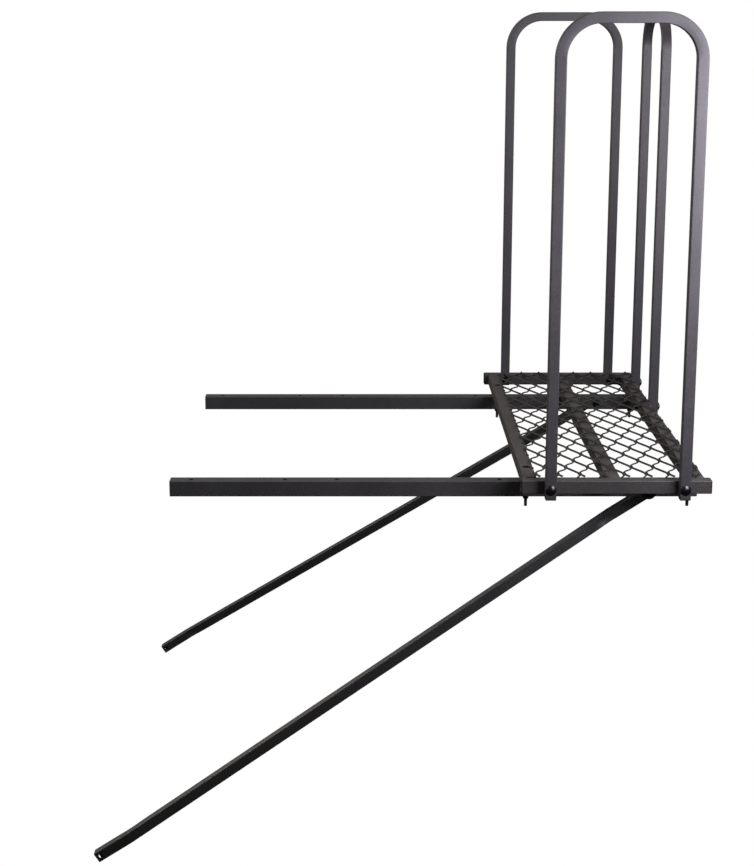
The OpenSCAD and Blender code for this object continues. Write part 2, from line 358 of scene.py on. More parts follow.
def plated_metal(name, base, light, roughness, patch_mm):
    """Plated or blackened steel: a clean metal shine broken by faint cloudy patches."""
    material = new_material(name)
    tree = material.node_tree
    place = add_node(tree, "ShaderNodeTexCoord", {}, {}, {}).outputs["Object"]
    cloud = add_node(
        tree, "ShaderNodeTexNoise", {}, {"Scale": per_metre(patch_mm), "Detail": 4.0}, {"Vector": place}
    )
    tint = add_node(tree, "ShaderNodeValToRGB", {}, {}, {"Fac": cloud.outputs["Fac"]})
    tint.color_ramp.elements[0].position = 0.35
    tint.color_ramp.elements[0].color = colour(base)
    tint.color_ramp.elements[1].position = 0.7
    tint.color_ramp.elements[1].color = colour(light)
    sheen = add_node(
        tree,
        "ShaderNodeMapRange",
        {},
        {"From Min": 0.3, "From Max": 0.7, "To Min": roughness - 0.05, "To Max": roughness + 0.08},
        {"Value": cloud.outputs["Fac"]},
    )
    skin = add_node(
        tree,
        "ShaderNodeBsdfPrincipled",
        {},
        {"Metallic": 1.0},
        {"Base Color": tint.outputs["Color"], "Roughness": sheen.outputs["Result"]},
    )
    add_node(tree, "ShaderNodeOutputMaterial", {}, {}, {"Surface": skin.outputs["BSDF"]})
    return material


def moulded_polyethylene(name, base, light):
    """Injection-moulded black polyethylene: waxy, with a faint spark-eroded grain."""
    material = new_material(name)
    tree = material.node_tree
    place = add_node(tree, "ShaderNodeTexCoord", {}, {}, {}).outputs["Object"]
    grain = add_node(
        tree, "ShaderNodeTexVoronoi", {}, {"Scale": per_metre(0.9)}, {"Vector": place}
    )
    tint = add_node(tree, "ShaderNodeValToRGB", {}, {}, {"Fac": grain.outputs["Distance"]})
    tint.color_ramp.elements[0].color = colour(base)
    tint.color_ramp.elements[1].color = colour(light)
    bump = add_node(
        tree,
        "ShaderNodeBump",
        {},
        {"Strength": 0.15, "Distance": 0.1 * MM},
        {"Height": grain.outputs["Distance"]},
    )
    skin = add_node(
        tree,
        "ShaderNodeBsdfPrincipled",
        {},
        {"IOR": 1.51, "Roughness": 0.55},
        {"Base Color": tint.outputs["Color"], "Normal": bump.outputs["Normal"]},
    )
    add_node(tree, "ShaderNodeOutputMaterial", {}, {}, {"Surface": skin.outputs["BSDF"]})
    return material


# All the tubes wear one coating. The frame coat's warm cast is painted warm top light, and the hoop coat's purple
# cast is painted cool key light.
FRAME_COAT_AND_WARM_LIGHT = powder_coat("powder_coated_frame_tube", "#373534", "#434140", 0.48)
RAIL_COAT = powder_coat("powder_coated_rail_tube", "#383738", "#434243", 0.44)
HOOP_COAT_AND_COOL_LIGHT = powder_coat("powder_coated_hoop_tube", "#373538", "#444245", 0.48)
BRACE_COAT = powder_coat("powder_coated_brace_tube", "#2A2A2A", "#353535", 0.48)
# The expanded metal's near-black colour is partly its own dark coat and partly painted shade: the shadow its
# raised strands throw on the tubes below.
MESH_COAT_AND_SHADE = powder_coat("powder_coated_expanded_metal", "#0A0909", "#121111", 0.68, 1.6)
BLACK_BOLT = powder_coat("black_lacquered_bolt", "#070708", "#0E0E10", 0.3, 4.0, 0.02)
BLACK_ZINC = plated_metal("black_zinc_plated_steel", "#1E1E20", "#333336", 0.36, 4)
POLYETHYLENE = moulded_polyethylene("moulded_black_polyethylene", "#0C0C0C", "#171717")


# ---------- square tubes ----------


def start_ring(side, heading):
    """Starts a tube, in edit mode: a square outline with round corners about the origin, which faces
    along the heading in the XY plane."""
    bpy.ops.mesh.primitive_plane_add(size=side, rotation=(0, math.pi / 2, heading))
    settle(bpy.context.object)
    edit()
    bpy.ops.mesh.bevel(offset=CORNER, offset_type="ABSOLUTE", segments=4, affect="VERTICES")
    pick("edges", lambda edge: edge_length(edge) > side / 2)
    bpy.ops.mesh.subdivide(number_cuts=3)
    bpy.ops.mesh.select_all(action="SELECT")
    bpy.ops.mesh.delete(type="ONLY_FACE")
    bpy.ops.mesh.select_mode(type="EDGE")
    bpy.ops.mesh.select_all(action="SELECT")


class Run:
    """Where a tube has got to: its centre and heading, and the rings where it bends."""

    def __init__(self, heading):
        self.at = Vector((0, 0, 0))
        self.heading = heading
        self.rings = []

    def ahead(self):
        return Vector((math.cos(self.heading), math.sin(self.heading), 0))

    def straight(self, length, cuts=1):
        for _ in range(cuts):
            extrude(self.ahead() * length / cuts)
            self.at += self.ahead() * length / cuts
            self.rings.append((self.at.copy(), self.heading))

    def bend(self, radius, angle, cuts):
        part = angle / cuts
        chord = 2 * radius * abs(math.sin(part / 2))
        for _ in range(cuts):
            self.heading += part / 2
            extrude(self.ahead() * chord)
            self.at += self.ahead() * chord
            self.heading += part / 2
            bpy.ops.transform.rotate(value=-part, orient_axis="Z", center_override=self.at)
            self.rings.append((self.at.copy(), self.heading))


def press_ring(ring, side, inner, depth, pinch):
    """Sinks the inner face at one ring and draws in the two corners beside it.
    inner is +1 where the inside of the bend is on the left of the heading, and -1 on the right."""
    centre, heading = ring
    ahead = Vector((math.cos(heading), math.sin(heading), 0))
    inwards = Vector((-math.sin(heading), math.cos(heading), 0)) * inner
    half = side / 2
    flat = half - CORNER

    def level(vertex):
        return abs((vertex.co - centre).dot(ahead)) < 0.4 * MM and (vertex.co - centre).length < side

    def across(vertex):
        return (vertex.co - centre).dot(inwards)

    for share, drop in ((0.0, 1.0), (0.5, 0.72)):
        pick(
            "vertices",
            lambda v: level(v)
            and across(v) > half - 0.1 * MM
            and abs(abs(v.co.z) - share * flat) < 0.3 * MM,
        )
        bpy.ops.transform.translate(value=-inwards * depth * drop)
    for up in (1, -1):
        for start, end, share in ((0.3, 0.8, 0.3), (0.8, 2.0, 1.0)):
            pick(
                "vertices",
                lambda v: level(v) and v.co.z * up > 0.8 * flat and start < across(v) / flat < end,
            )
            bpy.ops.transform.translate(value=-Z * pinch * up * share)


def wall(piece, thickness):
    """Gives the swept skin its wall, inwards, with square-cut open ends."""
    close_up()
    leave()
    apply_modifier(
        piece, "SOLIDIFY", thickness=thickness, offset=-1, use_even_offset=True, use_rim=True
    )
    bevel_edges(piece, 0.25 * MM, 2, math.radians(60))


def drill(piece, place, direction, radius, length):
    """A round hole right through."""
    turn = direction.to_track_quat("Z", "Y").to_euler()
    bpy.ops.mesh.primitive_cylinder_add(
        vertices=40, radius=radius, depth=length, location=place, rotation=turn
    )
    cutter = bpy.context.object
    apply_modifier(piece, "BOOLEAN", object=cutter, operation="DIFFERENCE", solver="EXACT")
    discard(cutter)


def hoop_pattern(side, width, height):
    """An upside-down U in the XZ plane: centred on X, its feet on Z = 0. The inside of each bend is
    pressed a little hollow and its corners draw in, as when square tube is bent round a former."""
    start_ring(side, math.pi / 2)
    piece = bpy.context.object
    run = Run(math.pi / 2)
    leg = height - HOOP_BEND - side / 2
    run.straight(leg)
    run.bend(HOOP_BEND, -math.pi / 2, HOOP_CUTS)
    run.straight(width - side - 2 * HOOP_BEND)
    run.bend(HOOP_BEND, -math.pi / 2, HOOP_CUTS)
    run.straight(leg)
    bends = [run.rings[first : first + HOOP_CUTS - 1] for first in (1, HOOP_CUTS + 2)]
    for rings in bends:
        for i, ring in enumerate(rings):
            swell = math.sin(math.pi * (i + 1) / (len(rings) + 1)) ** 0.5
            press_ring(ring, side, -1, HOOP_PRESS * swell, HOOP_PINCH * swell)
    wall(piece, HOOP_WALL)
    piece.rotation_euler = (math.pi / 2, 0, 0)
    piece.location = (-(width - side) / 2, 0, 0)
    settle(piece)
    shade(piece)
    return piece


def press_brake_bend(run, angle, before, after):
    """A bend of a few degrees, with rings close enough together before and after it to hold a dent."""
    run.straight(before, 6)
    run.bend(BRACE_BEND, angle, 4)
    run.straight(after, 9)


def dent(run, side, inner, spot):
    """Presses the inner face in, most at a spot on the tube's centre line and less to either side."""
    for ring in run.rings:
        away = (ring[0] - spot).length
        if away < DENT_REACH:
            swell = math.cos(math.pi / 2 * away / DENT_REACH) ** 2
            press_ring(ring, side, inner, DENT_DEPTH * swell, DENT_PINCH * swell)


def brace_pattern(side, length, splay):
    """A brace along +X from its pivot bolt at the origin, set out towards -Y at its far end. Both
    bends are made in a press, whose nose leaves a dent just past the inside of each."""
    span = length - BRACE_UPPER - BRACE_LOWER
    angle = math.atan2(splay, span)
    arc = BRACE_BEND * angle
    near_side = 2 * MM + arc / 2
    far_side = DENT_REACH + DENT_PAST - arc / 2
    start_ring(side, 0)
    piece = bpy.context.object
    run = Run(0)
    run.straight(BRACE_HEAD + BRACE_UPPER - near_side - arc / 2)
    press_brake_bend(run, -angle, near_side, far_side)
    upper = run.at - run.ahead() * (far_side - DENT_PAST + arc / 2)
    run.straight(math.hypot(span, splay) - 2 * far_side - arc)
    lower = run.at + run.ahead() * (far_side - DENT_PAST + arc / 2)
    press_brake_bend(run, angle, far_side, near_side)
    run.straight(BRACE_LOWER + BRACE_FOOT - near_side - arc / 2)
    dent(run, side, -1, upper)
    dent(run, side, 1, lower)
    wall(piece, HOOP_WALL)
    piece.location = (-BRACE_HEAD, 0, 0)
    settle(piece)
    drill(piece, Vector((0, 0, 0)), Y, PIVOT_BORE, 2 * side)
    drill(piece, Vector((length, -splay, 0)), Y, FOOT_HOLE, 2 * side)
    shade(piece)
    return piece


def finished_copy(node):
    """A CAD node's own shape in one merged skin, its cut edges eased."""
    source = frame["nodes"][node]
    piece = bpy.data.objects.new(node + "_piece", source.data.copy())
    bpy.context.scene.collection.objects.link(piece)
    bpy.ops.object.select_all(action="DESELECT")
    piece.select_set(True)
    bpy.context.view_layer.objects.active = piece
    edit()
    bpy.ops.mesh.select_all(action="SELECT")
    bpy.ops.mesh.remove_doubles(threshold=0.002 * MM)
    bpy.ops.mesh.dissolve_limited(angle_limit=math.radians(0.5))
    leave()
    bevel_edges(piece, CUT_EASE, 2, math.radians(50))
    shade(piece)
    return piece


# ---------- raised expanded metal ----------


def strand(count):
    """One strand along +Y, joined by turns to its neighbours on the left and on the right: flat
    ribbon, tilted so that its +X edge stands higher, which makes it fall towards +X between bonds."""
    flat_width = STRAND_WIDTH * math.cos(STRAND_TILT)
    rise = STRAND_WIDTH * math.sin(STRAND_TILT)
    reach = SHORT_WAY / 2 - flat_width
    half_pitch = LONG_WAY / 2
    run_out = half_pitch - BOND_LENGTH
    curve = ((0.0, 0.0), (0.1, 0.045), (0.2, 0.145), (0.8, 0.855), (0.9, 0.955), (1.0, 1.0))
    bpy.ops.mesh.primitive_plane_add(size=1)
    piece = bpy.context.object
    piece.scale = (STRAND_WIDTH, STRAND_THICK, 1)
    piece.rotation_euler = (math.pi / 2, -STRAND_TILT, 0)
    piece.location = (flat_width / 2, 0, rise / 2)
    settle(piece)
    edit()
    stops = [(BOND_LENGTH / 2 + run_out * along, across) for along, across in curve]
    there = stops + [(half_pitch, 1.0)]
    back = [(half_pitch + y, 1.0 - across) for y, across in stops]
    back.append((LONG_WAY, 0.0))
    before = (0.0, 0.0)
    for y, across in there + back:
        move = across - before[1]
        extrude(Vector((move * reach, y - before[0], -move * rise)))
        before = (y, across)
    bpy.ops.mesh.select_all(action="SELECT")
    leave()
    pick_ends(piece)
    repeat(piece, count, (0, LONG_WAY, 0), use_merge_vertices=True, merge_threshold=0.01 * MM)
    return piece


def pick_ends(piece):
    """Takes off the two end faces, so that copies set end to end make one skin."""
    edit()

    def is_end(face):
        return abs(face.normal.y) > 0.999 and len(face.vertices) == 4 and face.area < END_AREA

    pick("polygons", is_end)
    bpy.ops.mesh.delete(type="ONLY_FACE")
    leave()


def expanded_metal(low, high, middle, top):
    """The whole sheet, cut to its edges, its lowest edges on the tubes."""
    rows = math.ceil((high.y - low.y) / LONG_WAY) + 3
    columns = math.ceil((high.x - low.x) / SHORT_WAY) + 3
    piece = strand(rows)
    repeat(piece, 2, (SHORT_WAY / 2, LONG_WAY / 2, 0))
    repeat(piece, columns, (SHORT_WAY, 0, 0))
    lift = STRAND_WIDTH * math.sin(STRAND_TILT) + STRAND_THICK / 2 * math.cos(STRAND_TILT)
    row = cad_deck_y0 + BOND_ROW
    rows_back = math.ceil((row - low.y) / LONG_WAY + 1)
    piece.location = (middle - (columns // 2) * SHORT_WAY, row - rows_back * LONG_WAY, top + lift)
    settle(piece)
    edit()
    bpy.ops.mesh.select_all(action="SELECT")
    bpy.ops.transform.rotate(
        value=-SHEET_TURN, orient_axis="Z", center_override=Vector((middle, row, top))
    )
    for point, outward in ((low, -X), (low, -Y), (high, X), (high, Y)):
        bpy.ops.mesh.select_all(action="SELECT")
        bpy.ops.mesh.bisect(
            plane_co=point, plane_no=outward, use_fill=True, clear_outer=True, threshold=0.001 * MM
        )
    bpy.ops.mesh.select_all(action="SELECT")
    bpy.ops.mesh.normals_make_consistent(inside=False)
    leave()
    shade(piece, 25)
    return piece


# ---------- bolts, nuts, washers and plugs ----------


def lift_rings(steps):
    """From a selected face, one inset and one move for each (inset, rise)."""
    for inset, rise in steps:
        bpy.ops.mesh.inset(thickness=inset)
        bpy.ops.transform.translate(value=Z * rise)


def domed_bolt(shank_radius, shank_length, threaded):
    """A domed head standing on Z = 0, its shank going down, with thread at the end."""
    bpy.ops.mesh.primitive_cylinder_add(
        vertices=40, radius=DOME_RADIUS, depth=DOME_RIM, location=Z * DOME_RIM / 2
    )
    piece = bpy.context.object
    settle(piece)
    edit()
    pick("polygons", lambda face: face.normal.z > 0.9)
    crown = DOME_HEIGHT - DOME_RIM
    ball = (DOME_RADIUS**2 + crown**2) / (2 * crown)
    radii = [DOME_RADIUS * r for r in (1.0, 0.94, 0.84, 0.7, 0.52, 0.32, 0.12)]
    heights = [math.sqrt(ball**2 - r**2) - (ball - crown) for r in radii]
    lift_rings([(radii[i] - radii[i + 1], heights[i + 1] - heights[i]) for i in range(6)])
    pick("polygons", lambda face: face.normal.z < -0.9)
    bpy.ops.mesh.inset(thickness=DOME_RADIUS - shank_radius)
    extrude(-Z * (shank_length - threaded))
    cut_thread(threaded, M10_PITCH)
    close_up()
    leave()
    shade(piece, 40)
    return piece


def cut_thread(length, pitch):
    """Runs the selected end face on as thread ridges, and draws in the last one."""
    turns = round(length / pitch)
    rise = -Z * length / turns / 2
    for _ in range(turns):
        extrude(rise)
        bpy.ops.transform.resize(value=(THREAD_ROOT, THREAD_ROOT, 1))
        extrude(rise)
        bpy.ops.transform.resize(value=(1 / THREAD_ROOT, 1 / THREAD_ROOT, 1))
    bpy.ops.transform.resize(value=(0.86, 0.86, 1))


def hexagon_block(across_flats, height, bore):
    """A hexagon with its corners chamfered round, standing on Z = 0."""
    corner = across_flats / math.sqrt(3)
    bpy.ops.mesh.primitive_cylinder_add(
        vertices=6, radius=corner, depth=height, location=Z * height / 2
    )
    piece = bpy.context.object
    settle(piece)
    bpy.ops.mesh.primitive_cylinder_add(
        vertices=48, radius=corner * 1.002, depth=height, location=Z * height / 2
    )
    turned = bpy.context.object
    bevel_edges(turned, 0.13 * corner, 1)
    apply_modifier(piece, "BOOLEAN", object=turned, operation="INTERSECT", solver="EXACT")
    discard(turned)
    if bore:
        drill(piece, Z * height / 2, Z, bore, 3 * height)
    return piece


def lock_nut(across_flats, height, bore):
    """A lock nut: the hexagon carries a rolled collar, sunk inside where its nylon insert sits."""
    piece = hexagon_block(across_flats, height * 0.72, bore)
    bpy.ops.mesh.primitive_cylinder_add(
        vertices=40, radius=across_flats * 0.46, depth=height * 0.5, location=Z * height * 0.75
    )
    collar = bpy.context.object
    settle(collar)
    edit()
    pick("polygons", lambda face: face.normal.z > 0.9)
    bpy.ops.mesh.inset(thickness=0.09 * across_flats)
    extrude(-Z * 0.1 * height)
    bpy.ops.mesh.inset(thickness=across_flats * 0.37 - bore * 1.01)
    extrude(-Z * 0.12 * height)
    leave()
    bevel_edges(collar, 0.4 * MM, 3, 1.2)
    join(piece, [collar])
    shade(piece, 30)
    return piece


def join(piece, others):
    bpy.ops.object.select_all(action="DESELECT")
    for other in others:
        other.select_set(True)
    piece.select_set(True)
    bpy.context.view_layer.objects.active = piece
    bpy.ops.object.join()


def hexagon_bolt(across_flats, head, radius, length, threaded):
    """A hexagon head standing on Z = 0, its shank going down, with thread at the end."""
    piece = hexagon_block(across_flats, head, 0)
    bpy.ops.mesh.primitive_cylinder_add(
        vertices=28, radius=radius, depth=0.5 * MM, location=Z * 0.25 * MM
    )
    shank = bpy.context.object
    settle(shank)
    edit()
    pick("polygons", lambda face: face.normal.z < -0.9)
    extrude(-Z * (length - threaded))
    cut_thread(threaded, M8_PITCH)
    leave()
    join(piece, [shank])
    shade(piece, 30)
    return piece


def washer(radius, bore):
    """A stamped washer on Z = 0, its edges rolled over a little."""
    bpy.ops.mesh.primitive_cylinder_add(
        vertices=44, radius=radius, depth=WASHER_THICK, location=Z * WASHER_THICK / 2
    )
    piece = bpy.context.object
    settle(piece)
    edit()
    pick("polygons", lambda face: abs(face.normal.z) > 0.9)
    bpy.ops.mesh.inset(thickness=radius - bore)
    bpy.ops.mesh.bridge_edge_loops()
    close_up()
    leave()
    bevel_edges(piece, 0.25 * MM, 2)
    shade(piece, 30)
    return piece


def scaled_step(rise, share):
    """Runs the selected end face on by a rise and draws it to a share of its width."""
    extrude(Z * rise)
    bpy.ops.transform.resize(value=(share, share, 1))


def tube_plug(side, wall_thick):
    """A push-in plug: its lip stands on Z = 0, rounded over and dished, and its stem goes down."""
    half = side / 2 - PLUG_MARGIN
    bpy.ops.mesh.primitive_plane_add(size=2 * half)
    piece = bpy.context.object
    edit()
    bpy.ops.mesh.bevel(offset=CORNER, offset_type="ABSOLUTE", segments=4, affect="VERTICES")
    bpy.ops.mesh.select_all(action="SELECT")
    extrude(Z * (PLUG_LIP - PLUG_ROUND))
    turned = [math.radians(angle) for angle in (0, 30, 60, 90)]
    now = half
    for before, after in zip(turned, turned[1:]):
        across = (math.cos(before) - math.cos(after)) * PLUG_ROUND
        up = (math.sin(after) - math.sin(before)) * PLUG_ROUND
        scaled_step(up, 1 - across / now)
        now -= across
    scaled_step(0, 0.7)
    scaled_step(-PLUG_DISH, 0.93)
    close_up()
    pick("polygons", lambda face: face.normal.z < -0.9 and face.center.z < 0.1 * MM)
    scaled_step(0, (side / 2 - wall_thick - PLUG_FIT) / half)
    extrude(-Z * PLUG_STEM)
    close_up()
    leave()
    shade(piece, 40)
    return piece


# ---------- welds ----------


def weld_bead(length, radius):
    """A fillet bead along +Z from the origin, with one ripple for each dab of the torch."""
    ripples = round(length / RIPPLE)
    step = Z * length / (2 * ripples)
    bpy.ops.mesh.primitive_circle_add(vertices=12, radius=radius * BEAD_TIP, fill_type="NGON")
    piece = bpy.context.object
    edit()
    bpy.ops.mesh.select_all(action="SELECT")
    for i in range(ripples):
        grow = 1 / (BEAD_TIP if i == 0 else BEAD_WAIST)
        extrude(step)
        bpy.ops.transform.resize(value=(grow, grow, 1))
        extrude(step)
        shrink = BEAD_TIP if i == ripples - 1 else BEAD_WAIST
        bpy.ops.transform.resize(value=(shrink, shrink, 1))
    close_up()
    leave()
    shade(piece, 60)
    return piece


def mesh_dab(radius, height):
    """A small flat puddle of weld that holds a strand down, standing on Z = 0."""
    bpy.ops.mesh.primitive_cylinder_add(
        vertices=14, radius=radius, depth=height * 0.5, location=Z * height * 0.25
    )
    piece = bpy.context.object
    settle(piece)
    edit()
    pick("polygons", lambda face: face.normal.z > 0.9)
    shares = ((0.2, 0.25), (0.3, 0.2), (0.3, 0.05))
    lift_rings([(radius * inset, height * rise) for inset, rise in shares])
    leave()
    shade(piece, 60)
    return piece


# ---------- the deck ----------

near_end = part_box("near_end_tube")
far_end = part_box("far_end_tube")
left_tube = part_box("left_side_tube")
right_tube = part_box("right_side_tube")
middle_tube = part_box("centre_tube")
near_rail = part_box("near_rail")
far_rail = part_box("far_rail")
near_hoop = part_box("near_hoop")
HOOP_TUBE = near_hoop[1].y - near_hoop[0].y
FRAME_TUBE = near_end[1].z - near_end[0].z
RAIL_TUBE = near_rail[1].z - near_rail[0].z
frame_mid = FRAME_TUBE / 2
cad_deck_y0 = near_end[0].y


joints = {joint["name"]: Vector(joint["pos_m"]) for joint in frame["joints"]}
slots = {row["node"]: row["material_slot"] for row in frame["record"]["subparts"]}
SLOT_FINISH = {"black_bolt": BLACK_BOLT, "black_zinc": BLACK_ZINC, "plug_plastic": POLYETHYLENE}


def centre(box):
    return (box[0] + box[1]) / 2


def build_tubes():
    for node in ("near_end_tube", "far_end_tube", "left_side_tube", "centre_tube", "right_side_tube"):
        piece = finished_copy(node)
        finish_piece(piece, PLATFORM, "frame_coat", FRAME_COAT_AND_WARM_LIGHT, node)
    for node in ("near_rail", "far_rail"):
        piece = finished_copy(node)
        finish_piece(piece, PLATFORM, "rail_coat", RAIL_COAT, node)


def build_mesh():
    low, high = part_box("deck_mesh")
    piece = expanded_metal(low, high, centre(middle_tube).x, FRAME_TUBE)
    piece.name = "expanded_metal_deck"
    finish_piece(piece, PLATFORM, "mesh_coat", MESH_COAT_AND_SHADE, "deck_mesh")


def build_hoops():
    low, high = near_hoop
    pattern = hoop_pattern(HOOP_TUBE, high.x - low.x, high.z - low.z)
    for node in ("near_hoop", "far_hoop", "side_hoop"):
        middle = centre(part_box(node))
        foot = Vector((middle.x, middle.y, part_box(node)[0].z))
        outward = {"near_hoop": 0.0, "far_hoop": math.pi, "side_hoop": math.pi / 2}[node]
        piece = copy_piece(pattern, node + "_piece", foot, (0, 0, outward))
        finish_piece(piece, PLATFORM, "hoop_coat", HOOP_COAT_AND_COOL_LIGHT, node)
    discard(pattern)


def build_braces():
    feet = {mount["name"]: Vector(mount["pos_m"]) for mount in frame["record"]["mounts"]}
    pivot = joints["near_brace_pivot"]
    foot = feet["near_brace_foot"]
    down = math.atan2(pivot.z - foot.z, pivot.x - foot.x)
    length = math.hypot(pivot.z - foot.z, pivot.x - foot.x)
    splay = pivot.y - foot.y - (HOOP_TUBE - HOOP_WALL) / 2
    pattern = brace_pattern(HOOP_TUBE, length, splay)
    near = copy_piece(pattern, "near_brace_piece", pivot, (0, math.pi - down, 0))
    finish_piece(near, "near_brace_arm", "brace_coat", BRACE_COAT, "near_brace")
    far = copy_piece(
        pattern, "far_brace_piece", joints["far_brace_pivot"], (math.pi, math.pi - down, 0)
    )
    finish_piece(far, "far_brace_arm", "brace_coat", BRACE_COAT, "far_brace")
    discard(pattern)


def fit(pattern, name, node, place, outward, spin=0.0):
    """Puts a copy of a fastener or plug on the platform, in the finish for its node's slot."""
    slot = slots[node]
    piece = place_copy(pattern, name, place, outward, spin)
    finish_piece(piece, PLATFORM, slot, SLOT_FINISH[slot], node)


def hoop_bolt_places():
    """The foot of each hoop leg at its bolt, on the hoop's outer face, and the way out from there."""
    places = []
    for node, outward in (("near_hoop", -Y), ("far_hoop", Y), ("side_hoop", X)):
        low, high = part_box(node)
        middle = centre((low, high))
        along = Y if node == "side_hoop" else X
        reach = (high - low).dot(along) / 2 - HOOP_TUBE / 2
        for side in (-1, 1):
            foot = Vector((middle.x, middle.y, frame_mid)) + along * side * reach
            places.append((foot + outward * HOOP_TUBE / 2, outward))
    return places


def build_hoop_fasteners():
    shank = HOOP_TUBE + FRAME_TUBE + WASHER_THICK + BOLT_END
    bolt = domed_bolt(M10_RADIUS, shank, BOLT_END + 2 * MM)
    ring = washer(M10_WASHER, M10_WASHER_BORE)
    nut = lock_nut(M10_FLATS, M10_NUT_TALL, M10_NUT_BORE)
    for i, (place, outward) in enumerate(hoop_bolt_places(), 1):
        back = place - outward * (HOOP_TUBE + FRAME_TUBE)
        nut_seat = back - outward * WASHER_THICK
        fit(bolt, f"hoop_bolt_{i}", "hoop_bolts", place, outward, 0.3 * i)
        fit(ring, f"hoop_washer_{i}", "hoop_washers", back, -outward)
        fit(nut, f"hoop_nut_{i}", "hoop_nuts", nut_seat, -outward, 0.4 * i)
    discard(bolt, ring, nut)


def build_rail_fasteners():
    low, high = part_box("rail_head_washers")
    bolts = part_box("rail_bolts")
    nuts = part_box("rail_nuts")
    bolt = hexagon_bolt(M8_FLATS, bolts[1].z - high.z, M8_RADIUS, high.z - bolts[0].z, M8_THREAD)
    ring = washer(RAIL_WASHER, M8_WASHER_BORE)
    nut = lock_nut(M8_FLATS, nuts[1].z - nuts[0].z, M8_NUT_BORE)
    ends = (low.x + RAIL_WASHER, high.x - RAIL_WASHER)
    spots = [(x, rail) for x in ends for rail in (near_rail, far_rail)]
    for i, (x, rail) in enumerate(spots, 1):
        floor = Vector((x, centre(rail).y, low.z))
        under = Vector((x, floor.y, -RAIL_TUBE))
        fit(bolt, f"rail_bolt_{i}", "rail_bolts", floor + Z * WASHER_THICK, Z, 0.5 * i)
        fit(ring, f"rail_head_washer_{i}", "rail_head_washers", floor, Z)
        fit(ring, f"rail_nut_washer_{i}", "rail_nut_washers", under, -Z)
        fit(nut, f"rail_nut_{i}", "rail_nuts", under - Z * WASHER_THICK, -Z, 0.7 * i)
    discard(bolt, ring, nut)


def build_pivots():
    """Outwards from the rail: spacer, brace, large washer, domed head. Inwards: washer and nut."""
    stack = RAIL_TUBE / 2 + WASHER_THICK + 2 * SIDE_GAP + HOOP_TUBE + WASHER_THICK
    shank = stack + RAIL_TUBE / 2 + WASHER_THICK + BOLT_END
    bolt = domed_bolt(M10_RADIUS, shank, BOLT_END + 2 * MM)
    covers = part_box("pivot_head_washers")
    large = washer((covers[1].z - covers[0].z) / 2, PIVOT_BORE)
    small = washer(M10_WASHER, PIVOT_BORE)
    nut = lock_nut(M10_FLATS, M10_NUT_TALL, M10_NUT_BORE)
    for name, outward, rail in (("near", -Y, near_rail), ("far", Y, far_rail)):
        pivot = joints[name + "_brace_pivot"]
        middle = Vector((pivot.x, centre(rail).y, pivot.z))
        inner = middle - outward * RAIL_TUBE / 2
        outer = middle + outward * RAIL_TUBE / 2
        under_head = middle + outward * (stack - WASHER_THICK)
        nut_seat = inner - outward * WASHER_THICK
        fit(bolt, name + "_pivot_bolt", "pivot_bolts", middle + outward * stack, outward, 0.4)
        fit(large, name + "_pivot_head_washer", "pivot_head_washers", under_head, outward)
        fit(small, name + "_pivot_spacer", "pivot_spacers", outer, outward)
        fit(small, name + "_pivot_nut_washer", "pivot_nut_washers", inner, -outward)
        fit(nut, name + "_pivot_nut", "pivot_nuts", nut_seat, -outward, 0.2)
    discard(bolt, large, small, nut)


def build_plugs():
    wide = tube_plug(FRAME_TUBE, FRAME_WALL)
    for name, box in (("near", near_end), ("far", far_end)):
        for end, outward in ((0, -X), (1, X)):
            place = Vector((box[end].x, centre(box).y, frame_mid))
            fit(wide, f"{name}_end_plug_{end + 1}", "end_tube_plugs", place, outward)
    deep = tube_plug(RAIL_TUBE, FRAME_WALL)
    for name, box in (("near", near_rail), ("far", far_rail)):
        place = Vector((box[1].x, centre(box).y, -RAIL_TUBE / 2))
        fit(deep, name + "_rail_plug", "rail_plugs", place, X)
    small = tube_plug(HOOP_TUBE, HOOP_WALL)
    for i, (place, outward) in enumerate(hoop_bolt_places(), 1):
        foot = place - outward * HOOP_TUBE / 2
        foot.z = near_hoop[0].z
        fit(small, f"hoop_foot_plug_{i}", "hoop_foot_plugs", foot, -Z)
    discard(wide, deep, small)


def build_frame_welds():
    """Fillets where the three long tubes meet the end tubes: up both flanks, and above and below."""
    upright = weld_bead(FRAME_TUBE * 0.82, UPRIGHT_BEAD)
    flat = weld_bead(FRAME_TUBE * 0.8, FLAT_BEAD)
    count = 0
    for tube in (left_tube, middle_tube, right_tube):
        for y, way in ((tube[0].y, 1), (tube[1].y, -1)):
            for x in (tube[0].x, tube[1].x):
                count += 1
                place = Vector((x, y, FRAME_TUBE * 0.09))
                bead = place_copy(upright, f"frame_weld_{count}", place, Z, count)
                finish_piece(bead, PLATFORM, "frame_coat", FRAME_COAT_AND_WARM_LIGHT)
            for z in (0.0, FRAME_TUBE):
                count += 1
                place = Vector((tube[0].x + FRAME_TUBE * 0.1, y, z))
                bead = place_copy(flat, f"frame_weld_{count}", place, X, count)
                finish_piece(bead, PLATFORM, "frame_coat", FRAME_COAT_AND_WARM_LIGHT)
    discard(upright, flat)


